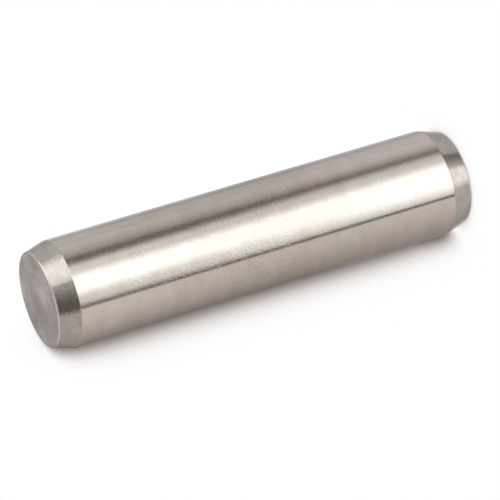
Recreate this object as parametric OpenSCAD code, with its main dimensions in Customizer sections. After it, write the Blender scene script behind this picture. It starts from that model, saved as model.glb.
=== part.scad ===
// Dowel pin: one ground steel cylinder with a tapered lead-in at each end.
// It stands on an end face. The origin is the centre of that face and +Z runs along the pin.

/* [Pin] */
// Diameter of the ground shank, in mm
diameter = 12; // [8:0.5:25]
// Length from end face to end face, in mm
length = 50; // [20:1:120]

/* [Lead-in] */
// Length of the taper at each end, measured along the pin, in mm
lead_length = 2.4; // [1:0.1:4]
// Depth of the taper at the end face, measured inwards from the shank, in mm
lead_depth = 0.7; // [0.3:0.05:1.5]

/* [Edges] */
// Radius of the rim between the end face and the taper, in mm
rim_radius = 0.25; // [0.05:0.05:0.6]
// Radius that blends the taper into the shank, in mm
shoulder_radius = 0.7; // [0.2:0.1:2]

/* [Hidden] */
$fn = 160;

// The pin is a half section turned round the axis. In the section, X is the distance out from
// the axis and Y the distance along it, and a facing is the angle of a surface's outward
// normal, where 0 points straight out and -90 points out of the end that the pin stands on.
shank_radius = diameter / 2;
face_radius = shank_radius - lead_depth;
face_facing = -90;
taper_facing = -atan2(lead_depth, lead_length);
shank_facing = 0;

function toward(angle) = [cos(angle), sin(angle)];

// Distance from a sharp corner to the point where its rounding begins
function setback(radius, from, to) = radius * tan((to - from) / 2);

rim_centre = [
    face_radius - setback(rim_radius, face_facing, taper_facing),
    rim_radius
];
shoulder_centre = [
    shank_radius - shoulder_radius,
    lead_length + setback(shoulder_radius, taper_facing, shank_facing)
];

module sharp_section() {
    polygon([
        [0, 0],
        [face_radius, 0],
        [shank_radius, lead_length],
        [shank_radius, length - lead_length],
        [face_radius, length],
        [0, length]
    ]);
}

// What a rounding takes off a corner: a wedge from one facing to the next, less the disc
// that stays. The wedge reaches twice the radius, which is past any corner it is used on.
module corner_waste(centre, radius, from, to) {
    translate(centre)
        difference() {
            polygon([[0, 0], 2 * radius * toward(from), 2 * radius * toward(to)]);
            circle(r = radius);
        }
}

module at_both_ends() {
    children();
    translate([0, length])
        mirror([0, 1])
            children();
}

module half_section() {
    difference() {
        sharp_section();
        at_both_ends() {
            corner_waste(rim_centre, rim_radius, face_facing, taper_facing);
            corner_waste(shoulder_centre, shoulder_radius, taper_facing, shank_facing);
        }
    }
}

module dowel_pin() {
    color("#b5ada5")
        rotate_extrude()
            half_section();
}

dowel_pin();
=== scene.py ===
"""Dresses a ground steel dowel pin: its turned form, its four finishes and a small photo studio.

The pin stands on one end face with +Z along it. Every length is in metres unless a name says
otherwise, and every bearing and height of the studio is in degrees.
"""

import math

import bmesh
import bpy
from bpy.props import FloatProperty, FloatVectorProperty, IntProperty, PointerProperty
from mathutils import Matrix, Vector


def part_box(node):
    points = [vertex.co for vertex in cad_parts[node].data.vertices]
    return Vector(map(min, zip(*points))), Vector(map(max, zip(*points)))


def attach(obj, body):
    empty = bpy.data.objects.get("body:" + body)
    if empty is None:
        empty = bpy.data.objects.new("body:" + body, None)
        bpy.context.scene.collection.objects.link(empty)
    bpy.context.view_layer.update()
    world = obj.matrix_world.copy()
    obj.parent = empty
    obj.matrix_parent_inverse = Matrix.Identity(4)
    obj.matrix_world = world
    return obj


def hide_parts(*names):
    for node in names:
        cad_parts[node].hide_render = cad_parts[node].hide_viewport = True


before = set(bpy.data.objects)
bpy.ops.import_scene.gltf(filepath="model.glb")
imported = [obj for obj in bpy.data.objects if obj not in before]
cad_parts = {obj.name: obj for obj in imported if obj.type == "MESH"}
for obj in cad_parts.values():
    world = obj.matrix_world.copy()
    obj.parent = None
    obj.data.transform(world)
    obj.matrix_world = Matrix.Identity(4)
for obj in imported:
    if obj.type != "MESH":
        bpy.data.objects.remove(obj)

bl_info = {
    "name": "Dowel Pin",
    "version": (1, 0, 0),
    "blender": (4, 5, 0),
    "location": "3D View > Sidebar > Dowel Pin",
    "description": "Builds a ground dowel pin with tapered ends, and a studio to show it in",
    "category": "Add Mesh",
}

PIN = "dowel_pin"
BODY = "root"

MM = 0.001
PIN_LOW, PIN_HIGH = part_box(PIN)
PIN_DIAMETER = round(2 * PIN_HIGH.x, 5)
PIN_LENGTH = round(PIN_HIGH.z - PIN_LOW.z, 5)
LEAD_LENGTH = 2.4 * MM
LEAD_DEPTH = 0.7 * MM
RIM_RADIUS = 0.25 * MM
SHOULDER_RADIUS = 0.7 * MM
SEGMENTS = 288
ARC_POINTS = 8

# Where the camera stands, and where the upright sheet faces, in degrees; 0 looks along +Y.
# The camera's place, turn and lens were fitted by a program.
VIEW_AZIMUTH = -5.155
VIEW_ELEVATION = 21.225
TABLE_AZIMUTH = 45

# How far apart the nodes of a tree stand in the node editor
NODE_STEP = 190


# ---------------------------------------------------------------------------
# Sizes and colours that a user may change
# ---------------------------------------------------------------------------

class PinSizes(bpy.types.PropertyGroup):
    """The pin's turned form."""

    diameter: FloatProperty(
        name="Diameter", description="Diameter of the ground shank",
        default=PIN_DIAMETER, min=0.001, unit="LENGTH", subtype="DISTANCE")
    length: FloatProperty(
        name="Length", description="Length from end face to end face",
        default=PIN_LENGTH, min=0.005, unit="LENGTH", subtype="DISTANCE")
    lead_length: FloatProperty(
        name="Lead Length", description="Length of the taper at each end",
        default=LEAD_LENGTH, min=0.0005, unit="LENGTH", subtype="DISTANCE")
    lead_depth: FloatProperty(
        name="Lead Depth", description="How far the taper comes in at the end face",
        default=LEAD_DEPTH, min=0.0001, unit="LENGTH", subtype="DISTANCE")
    rim_radius: FloatProperty(
        name="Rim Radius", description="Rounding between the end face and the taper",
        default=RIM_RADIUS, min=0.00001, unit="LENGTH", subtype="DISTANCE")
    shoulder_radius: FloatProperty(
        name="Shoulder Radius", description="Rounding that blends the taper into the shank",
        default=SHOULDER_RADIUS, min=0.00001, unit="LENGTH", subtype="DISTANCE")
    segments: IntProperty(
        name="Segments", description="Faces in one ring round the pin", default=SEGMENTS, min=16)
    arc_points: IntProperty(
        name="Arc Points", description="Points on each rounding", default=ARC_POINTS, min=1)


class PinFinish(bpy.types.PropertyGroup):
    """The colour of the pin's bare steel."""

    steel: FloatVectorProperty(
        name="Steel", description="Colour of the bare steel", subtype="COLOR",
        size=3, min=0, max=1, default=(0.65, 0.60, 0.55))


class StudioSettings(bpy.types.PropertyGroup):
    """The camera's place."""

    view_azimuth: FloatProperty(
        name="View Azimuth", description="Bearing of the camera, where 0 looks along +Y",
        default=math.radians(VIEW_AZIMUTH), subtype="ANGLE")
    view_elevation: FloatProperty(
        name="View Elevation", description="Height of the camera above the horizon",
        default=math.radians(VIEW_ELEVATION), subtype="ANGLE")
    view_roll: FloatProperty(
        name="View Roll", description="Turn of the camera that lays the pin down in its frame",
        default=math.radians(-106.81), subtype="ANGLE")
    view_distance: FloatProperty(
        name="View Distance", description="From the camera to the point that it looks at",
        default=0.35186, unit="LENGTH", subtype="DISTANCE")
    lens: FloatProperty(
        name="Lens", description="Focal length of the camera, in mm", default=232.27, min=10)


# ---------------------------------------------------------------------------
# Helpers for node trees
# ---------------------------------------------------------------------------

class Tree:
    """Adds nodes to a node tree from left to right, and joins them up."""

    def __init__(self, tree):
        self.tree = tree
        self.placed = 0

    def add(self, kind, **settings):
        node = self.tree.nodes.new(kind)
        node.location = (NODE_STEP * self.placed, 0)
        self.placed += 1
        for name, value in settings.items():
            setattr(node, name, value)
        return node

    def feed(self, socket, value):
        """Joins an output to a socket, or writes a plain value on it."""
        if isinstance(value, bpy.types.NodeSocket):
            self.tree.links.new(value, socket)
        else:
            socket.default_value = value

    def put(self, kind, inputs, **settings):
        """Adds a node and feeds its inputs, which are given by name or by number."""
        node = self.add(kind, **settings)
        for name, value in inputs.items():
            self.feed(node.inputs[name], value)
        return node

    def math(self, operation, *values):
        node = self.add("ShaderNodeMath", operation=operation)
        for socket, value in zip(node.inputs, values):
            self.feed(socket, value)
        return node.outputs[0]

    def vector(self, x, y, z):
        return self.put("ShaderNodeCombineXYZ", {0: x, 1: y, 2: z}).outputs[0]

    def parts(self, vector):
        return self.put("ShaderNodeSeparateXYZ", {0: vector}).outputs

    def less(self, a, b):
        compare = {"A": a, "B": b}
        return self.put("FunctionNodeCompare", compare, operation="LESS_THAN").outputs[0]

    def choose(self, kind, index, items):
        """One of the items, by its number in the list."""
        node = self.add("GeometryNodeIndexSwitch", data_type=kind)
        while len(node.index_switch_items) < len(items):
            node.index_switch_items.new()
        self.feed(node.inputs["Index"], index)
        for number, item in enumerate(items):
            self.feed(node.inputs[str(number)], item)
        return node.outputs[0]


def new_group(name, kind, inputs, outputs):
    """An empty node group with the named sockets: its tree, its inputs and its output node."""
    group = bpy.data.node_groups.new(name, kind)
    for label, (socket, default) in inputs.items():
        made = group.interface.new_socket(name=label, in_out="INPUT", socket_type=socket)
        if default is not None:
            made.default_value = default
    for label, socket in outputs.items():
        group.interface.new_socket(name=label, in_out="OUTPUT", socket_type=socket)
    tree = Tree(group)
    return tree, tree.add("NodeGroupInput").outputs, tree.add("NodeGroupOutput").inputs


# ---------------------------------------------------------------------------
# The turned form
# ---------------------------------------------------------------------------

# Rings across each end face and along the shank, besides those at their edges
FACE_RINGS = 8
SHANK_RINGS = 24
# How far past a rounding the next ring lies, which keeps the shading of the flat beside it even
HOLD = 0.04 * MM
# Points that lie closer than this are one point
TOUCHING = 0.001 * MM


def pin_tree():
    """Geometry Nodes: a half section with rounded corners, turned once round the axis."""
    length = "NodeSocketFloat"
    tree, given, result = new_group("Turned Pin", "GeometryNodeTree", {
        "Diameter": (length, PIN_DIAMETER),
        "Length": (length, PIN_LENGTH),
        "Lead Length": (length, LEAD_LENGTH),
        "Lead Depth": (length, LEAD_DEPTH),
        "Rim Radius": (length, RIM_RADIUS),
        "Shoulder Radius": (length, SHOULDER_RADIUS),
        "Segments": ("NodeSocketInt", SEGMENTS),
        "Arc Points": ("NodeSocketInt", ARC_POINTS),
        "Ground Finish": ("NodeSocketMaterial", None),
        "Turned Finish": ("NodeSocketMaterial", None),
        "Faced Finish": ("NodeSocketMaterial", None),
        "Edge Finish": ("NodeSocketMaterial", None),
    }, {"Geometry": "NodeSocketGeometry"})
    math_node = tree.math

    shank = math_node("DIVIDE", given["Diameter"], 2)
    face = math_node("SUBTRACT", shank, given["Lead Depth"])
    slant = math_node("SQRT", math_node(
        "ADD",
        math_node("POWER", given["Lead Length"], 2),
        math_node("POWER", given["Lead Depth"], 2)))
    run = math_node("DIVIDE", given["Lead Length"], slant)
    rise = math_node("DIVIDE", given["Lead Depth"], slant)
    lean = math_node("ARCTAN2", given["Lead Depth"], given["Lead Length"])

    # How far each rounding reaches from its sharp corner
    shoulder_reach = math_node(
        "MULTIPLY", given["Shoulder Radius"], math_node("TANGENT", math_node("DIVIDE", lean, 2)))
    rim_turn = math_node("SUBTRACT", math.pi / 2, lean)
    rim_reach = math_node(
        "MULTIPLY", given["Rim Radius"], math_node("TANGENT", math_node("DIVIDE", rim_turn, 2)))
    past_rim = math_node("ADD", rim_reach, HOLD)
    past_shoulder = math_node("ADD", shoulder_reach, HOLD)

    def on_taper(distance, from_shoulder):
        """A point on the taper, a distance along it from one of its two corners."""
        out = math_node("MULTIPLY", distance, rise)
        along = math_node("MULTIPLY", distance, run)
        if from_shoulder:
            return tree.vector(
                math_node("SUBTRACT", shank, out), 0,
                math_node("SUBTRACT", given["Lead Length"], along))
        return tree.vector(math_node("ADD", face, out), 0, along)

    corners = [
        tree.vector(0, 0, 0),
        tree.vector(math_node("SUBTRACT", face, past_rim), 0, 0),
        tree.vector(face, 0, 0),
        on_taper(past_rim, False),
        on_taper(past_shoulder, True),
        tree.vector(shank, 0, given["Lead Length"]),
        tree.vector(shank, 0, math_node("ADD", given["Lead Length"], past_shoulder)),
    ]
    roundings = [0.0, 0.0, given["Rim Radius"], 0.0, 0.0, given["Shoulder Radius"], 0.0]
    last = 2 * len(corners) - 1
    cuts = [0] * (last + 1)
    cuts[0] = FACE_RINGS
    cuts[last - 1] = FACE_RINGS
    cuts[len(corners) - 1] = SHANK_RINGS

    # The section runs from the lower face's centre, out and up, to the upper face's centre
    index = tree.add("GeometryNodeInputIndex").outputs[0]
    in_half = math_node("MINIMUM", index, math_node("SUBTRACT", last, index))
    corner = tree.parts(tree.choose("VECTOR", in_half, corners))
    upper = math_node("GREATER_THAN", index, len(corners) - 0.5)
    mirrored = math_node("SUBTRACT", given["Length"], corner["Z"])
    height = tree.put("ShaderNodeMix", {"Factor": upper, 2: corner["Z"], 3: mirrored})
    line = tree.put("GeometryNodeMeshLine", {"Count": last + 1})
    curve = tree.put("GeometryNodeMeshToCurve", {"Mesh": line.outputs[0]})
    section = tree.put("GeometryNodeSetPosition", {
        "Geometry": curve.outputs[0],
        "Position": tree.vector(corner["X"], 0, height.outputs[0])})
    kept = tree.add("GeometryNodeCaptureAttribute", domain="POINT")
    kept.capture_items.new("FLOAT", "Rounding")
    tree.feed(kept.inputs["Geometry"], section.outputs[0])
    tree.feed(kept.inputs["Rounding"], tree.choose("FLOAT", in_half, roundings))
    ringed = tree.put("GeometryNodeSubdivideCurve", {
        "Curve": kept.outputs["Geometry"], "Cuts": tree.choose("INT", index, cuts)})
    rounded = tree.put("GeometryNodeFilletCurve", {
        "Curve": ringed.outputs[0], "Count": given["Arc Points"],
        "Radius": kept.outputs["Rounding"]}, mode="POLY")

    # A flat grid has one row for each point of the section and is bent round the axis
    size = tree.put(
        "GeometryNodeAttributeDomainSize", {0: rounded.outputs[0]}, component="CURVE")
    rows = size.outputs["Point Count"]
    row_span = math_node("SUBTRACT", rows, 1)
    grid = tree.put("GeometryNodeMeshGrid", {
        "Size X": row_span, "Size Y": given["Segments"],
        "Vertices X": rows, "Vertices Y": math_node("ADD", given["Segments"], 1)})
    flat = tree.parts(tree.add("GeometryNodeInputPosition").outputs[0])
    row = math_node("ROUND", math_node("ADD", flat["X"], math_node("DIVIDE", row_span, 2)))
    # It is bent clockwise, which is the way that makes its faces point outwards
    turn = math_node("MULTIPLY", -2 * math.pi, math_node("DIVIDE", flat["Y"], given["Segments"]))
    sample = tree.put("GeometryNodeSampleIndex", {
        "Geometry": rounded.outputs[0], "Index": row}, data_type="FLOAT_VECTOR", domain="POINT")
    tree.feed(sample.inputs["Value"], tree.add("GeometryNodeInputPosition").outputs[0])
    point = tree.parts(sample.outputs[0])
    bent = tree.put("GeometryNodeSetPosition", {
        "Geometry": grid.outputs[0],
        "Position": tree.vector(
            math_node("MULTIPLY", point["X"], math_node("COSINE", turn)),
            math_node("MULTIPLY", point["X"], math_node("SINE", turn)),
            point["Z"])})
    closed = tree.put("GeometryNodeMergeByDistance", {
        "Geometry": bent.outputs[0], "Distance": TOUCHING})
    smooth = tree.put("GeometryNodeSetShadeSmooth", {"Geometry": closed.outputs[0]})

    # Finishes, by how far a face is from the pin's middle
    place = tree.parts(tree.add("GeometryNodeInputPosition").outputs[0])
    half = math_node("DIVIDE", given["Length"], 2)
    from_middle = math_node("ABSOLUTE", math_node("SUBTRACT", place["Z"], half))
    from_end = math_node("SUBTRACT", half, from_middle)
    shank_start = math_node("ADD", given["Lead Length"], shoulder_reach)
    taper_stop = math_node(
        "SUBTRACT", given["Lead Length"], math_node("MULTIPLY", shoulder_reach, run))
    taper_start = math_node("MULTIPLY", rim_reach, run)
    on_shank = tree.less(shank_start, from_end)
    on_lead = math_node(
        "MULTIPLY", tree.less(taper_start, from_end), tree.less(from_end, taper_stop))
    on_face = tree.less(from_end, TOUCHING)
    made = smooth.outputs[0]
    for finish, selection in (
            ("Edge Finish", True), ("Ground Finish", on_shank),
            ("Turned Finish", on_lead), ("Faced Finish", on_face)):
        node = tree.put("GeometryNodeSetMaterial", {
            "Geometry": made, "Selection": selection, "Material": given[finish]})
        made = node.outputs[0]
    whole = tree.put("GeometryNodeRealizeInstances", {"Geometry": made})
    tree.feed(result["Geometry"], whole.outputs[0])
    return tree.tree


def grown(name, tree, values):
    """A plain mesh object made by a Geometry Nodes tree with these named inputs."""
    piece = bpy.data.objects.new(name, bpy.data.meshes.new(name))
    bpy.context.scene.collection.objects.link(piece)
    modifier = piece.modifiers.new(name, "NODES")
    modifier.node_group = tree
    for item in tree.interface.items_tree:
        if item.in_out == "INPUT" and item.name in values:
            modifier[item.identifier] = values[item.name]
    depsgraph = bpy.context.evaluated_depsgraph_get()
    mesh = bpy.data.meshes.new_from_object(
        piece.evaluated_get(depsgraph), preserve_all_data_layers=True, depsgraph=depsgraph)
    piece.modifiers.remove(modifier)
    piece.data = mesh
    mesh.name = name
    return piece


# ---------------------------------------------------------------------------
# Finishes
# ---------------------------------------------------------------------------

# The handled side of the pin: the bearing and the height of its middle, how far it reaches
# to each side and up and down, and how many times deeper the dimples are in its middle
WORN_SIDE = {
    "Bearing": -104.5,
    "Reach": 21,
    "Height": 0.62 * PIN_LENGTH,
    "Half Length": 0.5 * PIN_LENGTH,
    "Deepest": 5,
}
# How much darker the colour is in a dimple, a painted shade in the pit, as a share for each time that
# it is deeper
PIT_SHADE = 0.04
# The values between which a noise mostly stays
NOISE_LOW, NOISE_HIGH = 0.3, 0.7
# How many times as long as the patches of tone the patches of hue are
CAST_STRETCH = 1.7
# How far the dimples' depth goes up and down, as a share
DEPTH_SHARE = 0.8


def marks_group():
    """Fine marks that run round the axis, as a lathe or a grinding wheel leaves them."""
    tree, given, result = new_group("Round Marks", "ShaderNodeTree", {
        "Spacing": ("NodeSocketFloat", 0.0003),
        "Run": ("NodeSocketFloat", 0.003),
        "Detail": ("NodeSocketFloat", 3.0),
    }, {"Height": "NodeSocketFloat"})
    place = tree.parts(tree.add("ShaderNodeTexCoord").outputs["Object"])
    out = tree.math("SQRT", tree.math(
        "ADD", tree.math("POWER", place["X"], 2), tree.math("POWER", place["Y"], 2)))
    across = tree.math("DIVIDE", tree.math("ADD", out, place["Z"]), given["Spacing"])
    vector = tree.vector(
        tree.math("DIVIDE", place["X"], given["Run"]),
        tree.math("DIVIDE", place["Y"], given["Run"]), across)
    noise = tree.put("ShaderNodeTexNoise", {
        "Vector": vector, "Scale": 1.0, "Detail": given["Detail"], "Roughness": 0.6})
    tree.feed(result["Height"], noise.outputs["Fac"])
    return tree.tree


def grain_group():
    """Soft patches with no direction, and the small dimples where they rise highest."""
    tree, given, result = new_group("Satin Grain", "ShaderNodeTree", {
        "Size": ("NodeSocketFloat", 0.0003),
        "Detail": ("NodeSocketFloat", 2.0),
    }, {"Patches": "NodeSocketFloat", "Dimples": "NodeSocketFloat"})
    place = tree.add("ShaderNodeTexCoord").outputs["Object"]
    scale = tree.math("DIVIDE", 1, given["Size"])
    noise = tree.put("ShaderNodeTexNoise", {
        "Vector": place, "Scale": scale, "Detail": given["Detail"], "Roughness": 0.5})
    pits = tree.put("ShaderNodeMapRange", {
        "Value": noise.outputs["Fac"], "From Min": 0.5, "From Max": 0.8,
        "To Min": 1.0, "To Max": 0.0}, interpolation_type="SMOOTHSTEP")
    tree.feed(result["Patches"], noise.outputs["Fac"])
    tree.feed(result["Dimples"], pits.outputs[0])
    return tree.tree


def worn_group():
    """How many times deeper the dimples are on the side of the pin that has been handled."""
    number = "NodeSocketFloat"
    tree, given, result = new_group("Worn Side", "ShaderNodeTree", {
        "Bearing": (number, 0.0),
        "Reach": (number, 30.0),
        "Height": (number, 0.025),
        "Half Length": (number, 0.025),
        "Deepest": (number, 3.0),
    }, {"Depth": number})
    place = tree.parts(tree.add("ShaderNodeTexCoord").outputs["Object"])
    bearing = tree.math("DEGREES", tree.math("ARCTAN2", place["Y"], place["X"]))
    aside = tree.math("WRAP", tree.math("SUBTRACT", bearing, given["Bearing"]), 180, -180)

    def nearness(offset, reach):
        """1 in the middle, falling smoothly to 0 at the reach."""
        return tree.put("ShaderNodeMapRange", {
            "Value": tree.math("ABSOLUTE", offset), "From Min": reach, "From Max": 0},
            interpolation_type="SMOOTHSTEP").outputs[0]

    share = tree.math(
        "MULTIPLY", nearness(aside, given["Reach"]),
        nearness(tree.math("SUBTRACT", place["Z"], given["Height"]), given["Half Length"]))
    extra = tree.math("MULTIPLY", share, tree.math("SUBTRACT", given["Deepest"], 1))
    tree.feed(result["Depth"], tree.math("ADD", 1, extra))
    return tree.tree


def steel_finish(name, groups, steel, roughness, anisotropic, marks, grain, bands, clouds):
    """Bare steel worked round its axis.

    marks and bands are (spacing, run, share) of lines round the pin: marks are ridges, whose
    share is their height, and bands are a tone. grain is (size, height, share of the tone) of
    the dimples, and clouds is (size, share of the tone, share of the roughness, share of the hue)."""
    material = bpy.data.materials.new(name)
    material.use_nodes = True
    tree = Tree(material.node_tree)
    material.node_tree.nodes.clear()

    def placed(group, values):
        node = tree.add("ShaderNodeGroup")
        node.node_tree = groups[group]
        for label, value in values.items():
            tree.feed(node.inputs[label], value)
        return node.outputs

    def spread(value, middle, share):
        """A value that goes a share above and below its middle as a noise goes up and down."""
        return tree.put("ShaderNodeMapRange", {
            "Value": value, "From Min": NOISE_LOW, "From Max": NOISE_HIGH,
            "To Min": middle * (1 - share), "To Max": middle * (1 + share)}).outputs[0]

    lines = placed("marks", {"Spacing": marks[0], "Run": marks[1]})[0]
    broad = placed("marks", {"Spacing": bands[0], "Run": bands[1], "Detail": 1.0})[0]
    specks, dimples = placed("grain", {"Size": grain[0]})
    cloud = placed("grain", {"Size": clouds[0], "Detail": 3.0})[0]
    cast = placed("grain", {"Size": clouds[0] * CAST_STRETCH, "Detail": 1.0})[0]

    tone = tree.math("MULTIPLY", spread(cloud, 1, clouds[1]), spread(broad, 1, bands[2]))
    tone = tree.math("MULTIPLY", tone, spread(specks, 1, grain[2]))
    worn = placed("worn", WORN_SIDE)[0]
    # Painted shade: the colour is darker in the dimples, and more so on the worn side, where they are
    # deeper
    pits = tree.math("MULTIPLY", worn, tree.math("SUBTRACT", 1, dimples))
    tone = tree.math("MULTIPLY", tone, tree.math(
        "SUBTRACT", 1, tree.math("MULTIPLY", PIT_SHADE, pits)))
    tinted = tree.vector(
        spread(cast, steel[0], clouds[3]), spread(cast, steel[1], -clouds[3]), steel[2])
    colour = tree.put("ShaderNodeVectorMath", {0: tinted, "Scale": tone}, operation="SCALE")
    rough = spread(specks, roughness, clouds[2])

    ridged = tree.put("ShaderNodeBump", {"Distance": marks[2], "Height": lines})
    depth = tree.math("MULTIPLY", spread(cloud, grain[1], DEPTH_SHARE), worn)
    dimpled = tree.put("ShaderNodeBump", {
        "Distance": depth, "Height": dimples, "Normal": ridged.outputs[0]})
    # The tangent runs round the pin, and a quarter of a turn stretches the gloss across the marks
    tangent = tree.add("ShaderNodeTangent", direction_type="RADIAL", axis="Z")
    surface = tree.put("ShaderNodeBsdfPrincipled", {
        "Base Color": colour.outputs[0], "Metallic": 1.0, "Roughness": rough,
        "Anisotropic": anisotropic, "Anisotropic Rotation": 0.25,
        "Normal": dimpled.outputs[0], "Tangent": tangent.outputs[0]})
    output = tree.add("ShaderNodeOutputMaterial")
    tree.feed(output.inputs["Surface"], surface.outputs[0])
    return material


def pin_finishes(steel):
    groups = {"marks": marks_group(), "grain": grain_group(), "worn": worn_group()}

    def finish(name, **values):
        return steel_finish(name, groups, steel, **values)

    return {
        "Ground Finish": finish(
            "ground_shank", roughness=0.11, anisotropic=0.7,
            marks=(0.25 * MM, 2.0 * MM, 0.002 * MM), grain=(0.3 * MM, 0.0014 * MM, 0.05),
            bands=(1.6 * MM, 6.0 * MM, 0.03), clouds=(2.0 * MM, 0.04, 0.3, 0.015)),
        "Turned Finish": finish(
            "turned_lead", roughness=0.12, anisotropic=0.7,
            marks=(0.2 * MM, 3.0 * MM, 0.003 * MM), grain=(0.35 * MM, 0.002 * MM, 0.06),
            bands=(0.5 * MM, 4.0 * MM, 0.03), clouds=(1.1 * MM, 0.09, 0.3, 0.02)),
        "Faced Finish": finish(
            "faced_end", roughness=0.35, anisotropic=0.3,
            marks=(0.25 * MM, 4.0 * MM, 0.006 * MM), grain=(0.4 * MM, 0.002 * MM, 0.07),
            bands=(0.8 * MM, 5.0 * MM, 0.045), clouds=(4.1 * MM, 0.27, 0.15, 0.015)),
        "Edge Finish": finish(
            "rounded_edge", roughness=0.16, anisotropic=0.5,
            marks=(0.2 * MM, 3.0 * MM, 0.001 * MM), grain=(0.3 * MM, 0.006 * MM, 0.04),
            bands=(0.8 * MM, 4.0 * MM, 0.03), clouds=(1.5 * MM, 0.05, 0.1, 0.012)),
    }


class DOWEL_OT_turn_pin(bpy.types.Operator):
    """Turn the pin and give each of its surfaces its finish"""

    bl_idname = "dowel.turn_pin"
    bl_label = "Turn Pin"

    def execute(self, context):
        sizes = context.scene.dowel_sizes
        finish = context.scene.dowel_finish
        values = {
            "Diameter": sizes.diameter,
            "Length": sizes.length,
            "Lead Length": sizes.lead_length,
            "Lead Depth": sizes.lead_depth,
            "Rim Radius": sizes.rim_radius,
            "Shoulder Radius": sizes.shoulder_radius,
            "Segments": sizes.segments,
            "Arc Points": sizes.arc_points,
        }
        values.update(pin_finishes(finish.steel))
        pin = grown("turned_pin", pin_tree(), values)
        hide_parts(PIN)
        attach(pin, BODY)
        return {"FINISHED"}


# ---------------------------------------------------------------------------
# The studio
# ---------------------------------------------------------------------------

TENT_RADIUS = 0.9
# Half of the side of a sheet
SHEET_HALF = 1.5

# The reflection tent is eight rings of soft-edged panels. Bearings are counted from the
# camera's side of the pin, and heights from its middle. A panel lies over the ones before it.
# FRONT is the camera's bearing as the pin's own axes count it, and the upright sheet covers the
# bearings from TABLE_BACK to TABLE_FRONT.
# Programs fitted the edges and lights of many panels, most of all in LOWER_RING, NEAR_RING and
# FAR_RING. Their results were rounded, and some were changed, so a large part of
# these numbers wasn't chosen by hand.
FRONT = VIEW_AZIMUTH - 90
TABLE_BACK = TABLE_AZIMUTH - VIEW_AZIMUTH - 270
TABLE_FRONT = TABLE_AZIMUTH - VIEW_AZIMUTH - 90

# Tints of the light
PLAIN = (1.0, 1.0, 1.0)
COOL = (0.975, 1.0, 1.03)
CREAM = (1.03, 1.0, 0.98)
WARM = (1.06, 0.99, 0.95)
BROWN = (1.09, 0.98, 0.95)
BLUSH = (1.06, 0.99, 0.99)
ROSE = (1.03, 0.985, 1.025)

# name: (from bearing, its soft edge, to bearing, its soft edge, light, tint)
TOP_RING = {
    "room": (-180, 1, 180, 1, 0.7, ROSE),
}
OVERHEAD_RING = {
    "room": (-180, 1, 180, 1, 0.7, ROSE),
    "overhead_light": (52, 12, 107, 8, 1.8, PLAIN),
}
HIGH_RING = {
    "room": (-180, 1, 180, 1, 0.58, PLAIN),
    "second_softbox": (21.5, 20, 92, 9, 0.9, PLAIN),
    "dark_room": (-60, 4, 0, 25, 0.13, BROWN),
    "table": (TABLE_BACK, 0.5, -46, 8.5, 0.49, BLUSH),
    "far_card": (-228, 8, -124, 8, 0.74, ROSE),
    "end_card": (-206, 12, -154, 12, 0.37, ROSE),
}
UPPER_RING = {
    "room": (-180, 1, 180, 1, 0.58, PLAIN),
    "second_softbox": (21.5, 20, 74.5, 16.5, 1.28, PLAIN),
    "glow": (-12.5, 0.6, 19.5, 2, 0.44, CREAM),
    "dark_room": (-60, 4, 0, 25, 0.13, BROWN),
    "table": (TABLE_BACK, 0.5, -46, 8.5, 0.49, BLUSH),
    "pin_shade": (-190, 12, -134, 50, 0.25, WARM),
    "back_card": (-218, 6, -200, 8, 0.8, ROSE),
    "end_card": (-206, 12, -154, 12, 0.37, ROSE),
}
SHOULDER_RING = {
    "room": (-180, 1, 180, 1, 0.4, PLAIN),
    "softbox": (-14, 11, 46, 6, 1.6, PLAIN),
    "spark": (54, 4, 76, 6, 1.9, PLAIN),
    "back_wall": (84, 8, 140, 6, 0.48, PLAIN),
    "table": (TABLE_BACK, 0.5, TABLE_FRONT, 0.5, 0.66, BLUSH),
    "table_back": (TABLE_BACK, 0.5, -178, 14, 0.42, PLAIN),
    "pin_shade": (-178, 12, -113, 60, 0.25, WARM),
}
NEAR_RING = {
    "room": (-180, 1, 180, 1, 0.22, BROWN),
    "back_wall": (74.5, 16.5, 140, 6, 0.57, CREAM),
    "back_glow": (94, 5, 105, 6, 0.63, CREAM),
    "fill": (-45, 3, 50, 8.5, 0.88, CREAM),
    "fill_edge": (-45, 3, -27, 7, 0.8, CREAM),
    "dark_flag": (58, 4.5, 67.5, 4.5, 0.17, BROWN),
    "softbox": (-11, 11.5, 26.5, 10.5, 1.7, COOL),
    "table": (TABLE_BACK, 0.5, TABLE_FRONT, 0.5, 0.68, WARM),
    "table_glow": (-70, 25, TABLE_FRONT, 0.5, 0.74, WARM),
    "table_back": (TABLE_BACK, 0.5, -183, 14, 0.58, PLAIN),
    "pin_shade": (-176, 14, -114, 62, 0.17, WARM),
    "back_horizon": (134, 8, 149, 7, 0.46, PLAIN),
    "horizon": (-43, 2.2, -34, 6.5, 0.22, WARM),
}
FAR_RING = {
    "room": (-180, 1, 180, 1, 0.29, BROWN),
    "back_wall": (73.5, 16.5, 140, 6, 0.64, ROSE),
    "back_glow": (85, 12, 118, 14, 0.71, ROSE),
    "fill": (-45, 3, 55.5, 12.5, 0.88, PLAIN),
    "dark_flag": (59.5, 4.5, 67, 4.5, 0.27, BROWN),
    "softbox": (-27, 16, 31, 12, 1.85, COOL),
    "table": (TABLE_BACK, 0.5, TABLE_FRONT, 0.5, 0.69, WARM),
    "table_glow": (-70, 25, TABLE_FRONT, 0.5, 0.77, WARM),
    "table_back": (TABLE_BACK, 0.5, -183, 14, 0.58, ROSE),
    "pin_shade": (-181, 14, -107.5, 68, 0.27, WARM),
    "back_horizon": (134, 8, 149, 7, 0.5, ROSE),
    "horizon": (-43.5, 1.6, -37.5, 2, 0.24, WARM),
}
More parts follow.
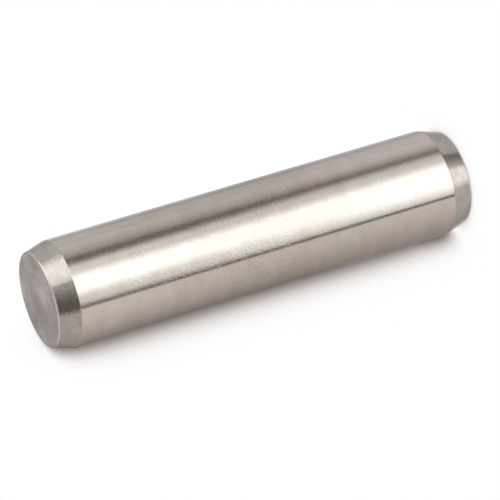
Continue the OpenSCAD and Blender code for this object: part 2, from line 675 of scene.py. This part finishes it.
LOWER_RING = {
    "room": (-180, 1, 180, 1, 0.52, PLAIN),
    "dark_flag": (33.5, 0.6, 65, 6, 0.16, WARM),
    "dim_flag": (20, 1.5, 43.5, 22, 0.51, PLAIN),
    "softbox": (-31.5, 17, 22.5, 9, 1.25, PLAIN),
    "table": (TABLE_BACK, 0.5, TABLE_FRONT, 0.5, 0.57, CREAM),
    "table_back": (-189.5, 7, -147, 8, 1.3, ROSE),
    "pin_shade": (-154.5, 2.5, -127.5, 53.5, 0.23, ROSE),
    "back_wall": (120, 10, 155, 8, 0.44, ROSE),
}
# The rings from below up, and where each one above the first begins: (height, half of the blend)
RINGS = (
    LOWER_RING, FAR_RING, NEAR_RING, SHOULDER_RING, UPPER_RING, HIGH_RING, OVERHEAD_RING,
    TOP_RING)
SEAMS = ((-34, 7), (-21.5, 3.5), (-9, 1.5), (-0.5, 2.5), (19, 3), (30, 8), (76, 4))
# Bands of height where all the panels are dimmer or brighter:
# (from height, its soft edge, to height, its soft edge, share of the light)
VEILS = {
    "middle_of_shank": (-23, 0.4, -20.7, 0.5, (0.865, 0.865, 0.82)),
    "near_shoulder": (-18, 0.5, -14, 2, (1.13, 1.13, 1.13)),
}


def faded(tree, value, edge, soft):
    """Rises smoothly from 0 to 1 round an edge."""
    return tree.put("ShaderNodeMapRange", {
        "Value": value,
        "From Min": tree.math("SUBTRACT", edge, soft),
        "From Max": tree.math("ADD", edge, soft)}, interpolation_type="SMOOTHSTEP").outputs[0]


def mixed(tree, factor, first, second):
    """A colour between two others."""
    mix = tree.add("ShaderNodeMix", data_type="RGBA")
    tree.feed(mix.inputs["Factor"], factor)
    ends = [socket for socket in mix.inputs if socket.type == "RGBA"]
    tree.feed(ends[0], first)
    tree.feed(ends[1], second)
    return [socket for socket in mix.outputs if socket.type == "RGBA"][0]


def panel_group():
    """One soft-edged panel of the tent, laid over the light that was there before."""
    number = "NodeSocketFloat"
    tree, given, result = new_group("Tent Panel", "ShaderNodeTree", {
        "Behind": ("NodeSocketColor", (0, 0, 0, 1)),
        "Light": ("NodeSocketColor", (1, 1, 1, 1)),
        "Angle": (number, 0),
        "Centre": (number, 0),
        "Half Width": (number, 10),
        "From Soft": (number, 1),
        "To Soft": (number, 1),
    }, {"Light": "NodeSocketColor"})
    aside = tree.math("WRAP", tree.math("SUBTRACT", given["Angle"], given["Centre"]), 180, -180)
    low_edge = tree.math("MULTIPLY", given["Half Width"], -1)
    past_first = faded(tree, aside, low_edge, given["From Soft"])
    past_second = faded(tree, aside, given["Half Width"], given["To Soft"])
    share = tree.math("MULTIPLY", past_first, tree.math("SUBTRACT", 1, past_second))
    tree.feed(result["Light"], mixed(tree, share, given["Behind"], given["Light"]))
    return tree.tree


def tent_material():
    """Light by direction, for reflections only."""
    material = bpy.data.materials.new("reflection_tent")
    material.use_nodes = True
    tree = Tree(material.node_tree)
    material.node_tree.nodes.clear()
    place = tree.add("ShaderNodeTexCoord").outputs["Object"]
    middle = (0, 0, PIN_LENGTH / 2)
    from_pin = tree.put("ShaderNodeVectorMath", {0: place, 1: middle}, operation="SUBTRACT")
    toward = tree.put("ShaderNodeVectorMath", {0: from_pin.outputs[0]}, operation="NORMALIZE")
    axis = tree.parts(toward.outputs[0])
    bearing = tree.math("SUBTRACT", tree.math(
        "DEGREES", tree.math("ARCTAN2", axis["Y"], axis["X"])), FRONT)
    height = tree.math("DEGREES", tree.math("ARCSINE", axis["Z"]))
    group = panel_group()

    def laid(name, behind, light, angle, start, start_soft, stop, stop_soft):
        panel = tree.add("ShaderNodeGroup", label=name)
        panel.node_tree = group
        for label, value in {
                "Behind": behind, "Light": light, "Angle": angle, "Centre": (start + stop) / 2,
                "Half Width": (stop - start) / 2, "From Soft": start_soft,
                "To Soft": stop_soft}.items():
            tree.feed(panel.inputs[label], value)
        return panel.outputs[0]

    def ring(panels):
        light = (0, 0, 0, 1)
        for name, (*edges, strength, tint) in panels.items():
            colour = (*(strength * part for part in tint), 1)
            light = laid(name, light, colour, bearing, *edges)
        return light

    light = ring(RINGS[0])
    for panels, seam in zip(RINGS[1:], SEAMS):
        light = mixed(tree, faded(tree, height, *seam), light, ring(panels))
    for name, (*edges, share) in VEILS.items():
        veil = laid(name, (1, 1, 1, 1), (*share, 1), height, *edges)
        light = tree.put(
            "ShaderNodeVectorMath", {0: light, 1: veil}, operation="MULTIPLY").outputs[0]
    glow = tree.put("ShaderNodeEmission", {"Color": light, "Strength": 1.0})
    output = tree.add("ShaderNodeOutputMaterial")
    tree.feed(output.inputs["Surface"], glow.outputs[0])
    material.cycles.emission_sampling = "NONE"
    return material


def show_only_to(piece, ray):
    """Hides a piece of the stage from every kind of ray but one."""
    for kind in ("camera", "diffuse", "glossy", "transmission", "shadow", "volume_scatter"):
        setattr(piece, "visible_" + kind, kind == ray)


def add_tent():
    """A round tent that only reflections see."""
    mesh = bpy.data.meshes.new("reflection_tent")
    tent = bpy.data.objects.new("reflection_tent", mesh)
    bpy.context.scene.collection.objects.link(tent)
    form = bmesh.new()
    bmesh.ops.create_icosphere(form, subdivisions=5, radius=TENT_RADIUS)
    bmesh.ops.translate(form, vec=(0, 0, PIN_LENGTH / 2), verts=form.verts)
    bmesh.ops.reverse_faces(form, faces=form.faces)
    form.to_mesh(mesh)
    form.free()
    mesh.materials.append(tent_material())
    show_only_to(tent, "glossy")


# The light on a sheet at each share of open sky above it: (share, colour)
SHADE = (
    (0.1, (0.15, 0.13, 0.125)),
    (0.2, (0.37, 0.335, 0.32)),
    (0.29, (0.615, 0.565, 0.555)),
    (0.45, (0.89, 0.87, 0.865)),
    (0.58, (0.975, 0.975, 0.975)),
    (0.74, (1.0, 1.0, 1.0)),
)
# How far a point of a sheet looks for what covers its sky
SKY_REACH = 0.2
# How far the deeper shade reaches from the corner of the two sheets, and how deep it is there
CORNER_REACH = 6 * MM
CORNER_DEPTH = 1.18


def sheet_material(name, toward, offset):
    """A white sheet for the camera, darker where the pin covers it. Its back isn't seen.

    The pin's shade is deeper in the corner with the other sheet, and a point's distance from
    that corner is how far it lies along toward, plus the offset."""
    material = bpy.data.materials.new(name)
    material.use_nodes = True
    tree = Tree(material.node_tree)
    material.node_tree.nodes.clear()
    sky = tree.put("ShaderNodeAmbientOcclusion", {"Distance": SKY_REACH}, samples=16)
    place = tree.add("ShaderNodeTexCoord").outputs["Object"]
    along = tree.put("ShaderNodeVectorMath", {0: place, 1: toward}, operation="DOT_PRODUCT")
    off_corner = tree.math("ADD", along.outputs["Value"], offset)
    depth = tree.put("ShaderNodeMapRange", {
        "Value": off_corner, "From Min": 0, "From Max": CORNER_REACH,
        "To Min": CORNER_DEPTH, "To Max": 1}, interpolation_type="SMOOTHSTEP").outputs[0]
    covered = tree.math("MULTIPLY", depth, tree.math("SUBTRACT", 1, sky.outputs["AO"]))
    shade = tree.add("ShaderNodeValToRGB")
    elements = shade.color_ramp.elements
    while len(elements) < len(SHADE):
        elements.new(1)
    for element, (share, colour) in zip(elements, SHADE):
        element.position = share
        element.color = (*colour, 1)
    tree.feed(shade.inputs[0], tree.math("SUBTRACT", 1, covered))
    glow = tree.put("ShaderNodeEmission", {"Color": shade.outputs[0], "Strength": 1.0})
    clear = tree.add("ShaderNodeBsdfTransparent")
    behind = tree.add("ShaderNodeNewGeometry").outputs["Backfacing"]
    shown = tree.put("ShaderNodeMixShader", {0: behind, 1: glow.outputs[0], 2: clear.outputs[0]})
    output = tree.add("ShaderNodeOutputMaterial")
    tree.feed(output.inputs["Surface"], shown.outputs[0])
    material.cycles.emission_sampling = "NONE"
    return material


def add_sheet(name, centre, across, along, material):
    """A flat square for the camera only, facing the cross product of across and along."""
    corners = [
        centre + SHEET_HALF * (x * across + y * along)
        for x, y in ((-1, -1), (1, -1), (1, 1), (-1, 1))]
    mesh = bpy.data.meshes.new(name)
    mesh.from_pydata([tuple(corner) for corner in corners], [], [(0, 1, 2, 3)])
    mesh.materials.append(material)
    sheet = bpy.data.objects.new(name, mesh)
    bpy.context.scene.collection.objects.link(sheet)
    show_only_to(sheet, "camera")


# The light from all round, a little warm
DAYLIGHT = (1, 0.98, 0.96, 1)
DAYLIGHT_STRENGTH = 0.9


def set_world():
    """Plain soft light, and a plain white background for the camera and for gloss."""
    world = bpy.data.worlds.new("studio")
    world.use_nodes = True
    tree = Tree(world.node_tree)
    world.node_tree.nodes.clear()
    path = tree.add("ShaderNodeLightPath").outputs
    seen = tree.math("MAXIMUM", path["Is Camera Ray"], tree.math(
        "MAXIMUM", path["Is Glossy Ray"], path["Is Transmission Ray"]))
    light = tree.put("ShaderNodeBackground", {"Color": DAYLIGHT, "Strength": DAYLIGHT_STRENGTH})
    white = tree.put("ShaderNodeBackground", {"Color": (1, 1, 1, 1), "Strength": 1.0})
    mix = tree.put("ShaderNodeMixShader", {0: seen, 1: light.outputs[0], 2: white.outputs[0]})
    output = tree.add("ShaderNodeOutputWorld")
    tree.feed(output.inputs["Surface"], mix.outputs[0])
    bpy.context.scene.world = world


# The point that the camera looks at
AIM = Vector((-1.347, 0.127, 25.26)) * MM


def add_camera(settings):
    """A long lens that looks down the pin, turned so that the pin lies in its frame."""
    level = math.cos(settings.view_elevation)
    back = Vector((
        math.sin(settings.view_azimuth) * level,
        -math.cos(settings.view_azimuth) * level,
        math.sin(settings.view_elevation)))
    right = Vector((0, 0, 1)).cross(back).normalized()
    up = back.cross(right)
    upright = Matrix((right, up, back)).transposed()
    turned = upright @ Matrix.Rotation(settings.view_roll, 3, "Z")
    camera = bpy.data.objects.new("camera", bpy.data.cameras.new("camera"))
    bpy.context.scene.collection.objects.link(camera)
    camera.matrix_world = Matrix.Translation(AIM + settings.view_distance * back) @ turned.to_4x4()
    camera.data.sensor_width = 36
    camera.data.lens = settings.lens
    camera.data.clip_start = 0.01
    camera.data.clip_end = 10
    bpy.context.scene.camera = camera


class DOWEL_OT_set_stage(bpy.types.Operator):
    """Set up the camera, the white surroundings and the reflection tent"""

    bl_idname = "dowel.set_stage"
    bl_label = "Set Stage"

    def execute(self, context):
        settings = context.scene.dowel_studio
        context.scene.view_settings.view_transform = "Standard"
        set_world()
        add_tent()
        up = Vector((0, 0, 1))
        turn = math.radians(TABLE_AZIMUTH)
        facing = Vector((math.sin(turn), -math.cos(turn), 0))
        table = sheet_material("table_sheet", up, 0)
        add_sheet("table_sheet", -facing * PIN_DIAMETER / 2, up.cross(facing), up, table)
        floor = sheet_material("floor_sheet", facing, PIN_DIAMETER / 2)
        add_sheet("floor_sheet", Vector(), Vector((1, 0, 0)), Vector((0, 1, 0)), floor)
        add_camera(settings)
        return {"FINISHED"}


class DOWEL_PT_panel(bpy.types.Panel):
    """Lists the pin's sizes, its finish and the studio"""

    bl_idname = "DOWEL_PT_panel"
    bl_label = "Dowel Pin"
    bl_space_type = "VIEW_3D"
    bl_region_type = "UI"
    bl_category = "Dowel Pin"

    def draw(self, context):
        scene = context.scene
        for operator, settings in (
                (DOWEL_OT_turn_pin, (scene.dowel_sizes, scene.dowel_finish)),
                (DOWEL_OT_set_stage, (scene.dowel_studio,))):
            box = self.layout.box()
            for group in settings:
                for name in group.__annotations__:
                    box.prop(group, name)
            box.operator(operator.bl_idname)


CLASSES = (
    PinSizes, PinFinish, StudioSettings, DOWEL_OT_turn_pin, DOWEL_OT_set_stage, DOWEL_PT_panel)


def register():
    for item in CLASSES:
        bpy.utils.register_class(item)
    bpy.types.Scene.dowel_sizes = PointerProperty(type=PinSizes)
    bpy.types.Scene.dowel_finish = PointerProperty(type=PinFinish)
    bpy.types.Scene.dowel_studio = PointerProperty(type=StudioSettings)


def unregister():
    del bpy.types.Scene.dowel_studio
    del bpy.types.Scene.dowel_finish
    del bpy.types.Scene.dowel_sizes
    for item in reversed(CLASSES):
        bpy.utils.unregister_class(item)


def main():
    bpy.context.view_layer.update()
    register()
    bpy.ops.dowel.turn_pin()
    bpy.ops.dowel.set_stage()


if __name__ == "__main__":
    main()
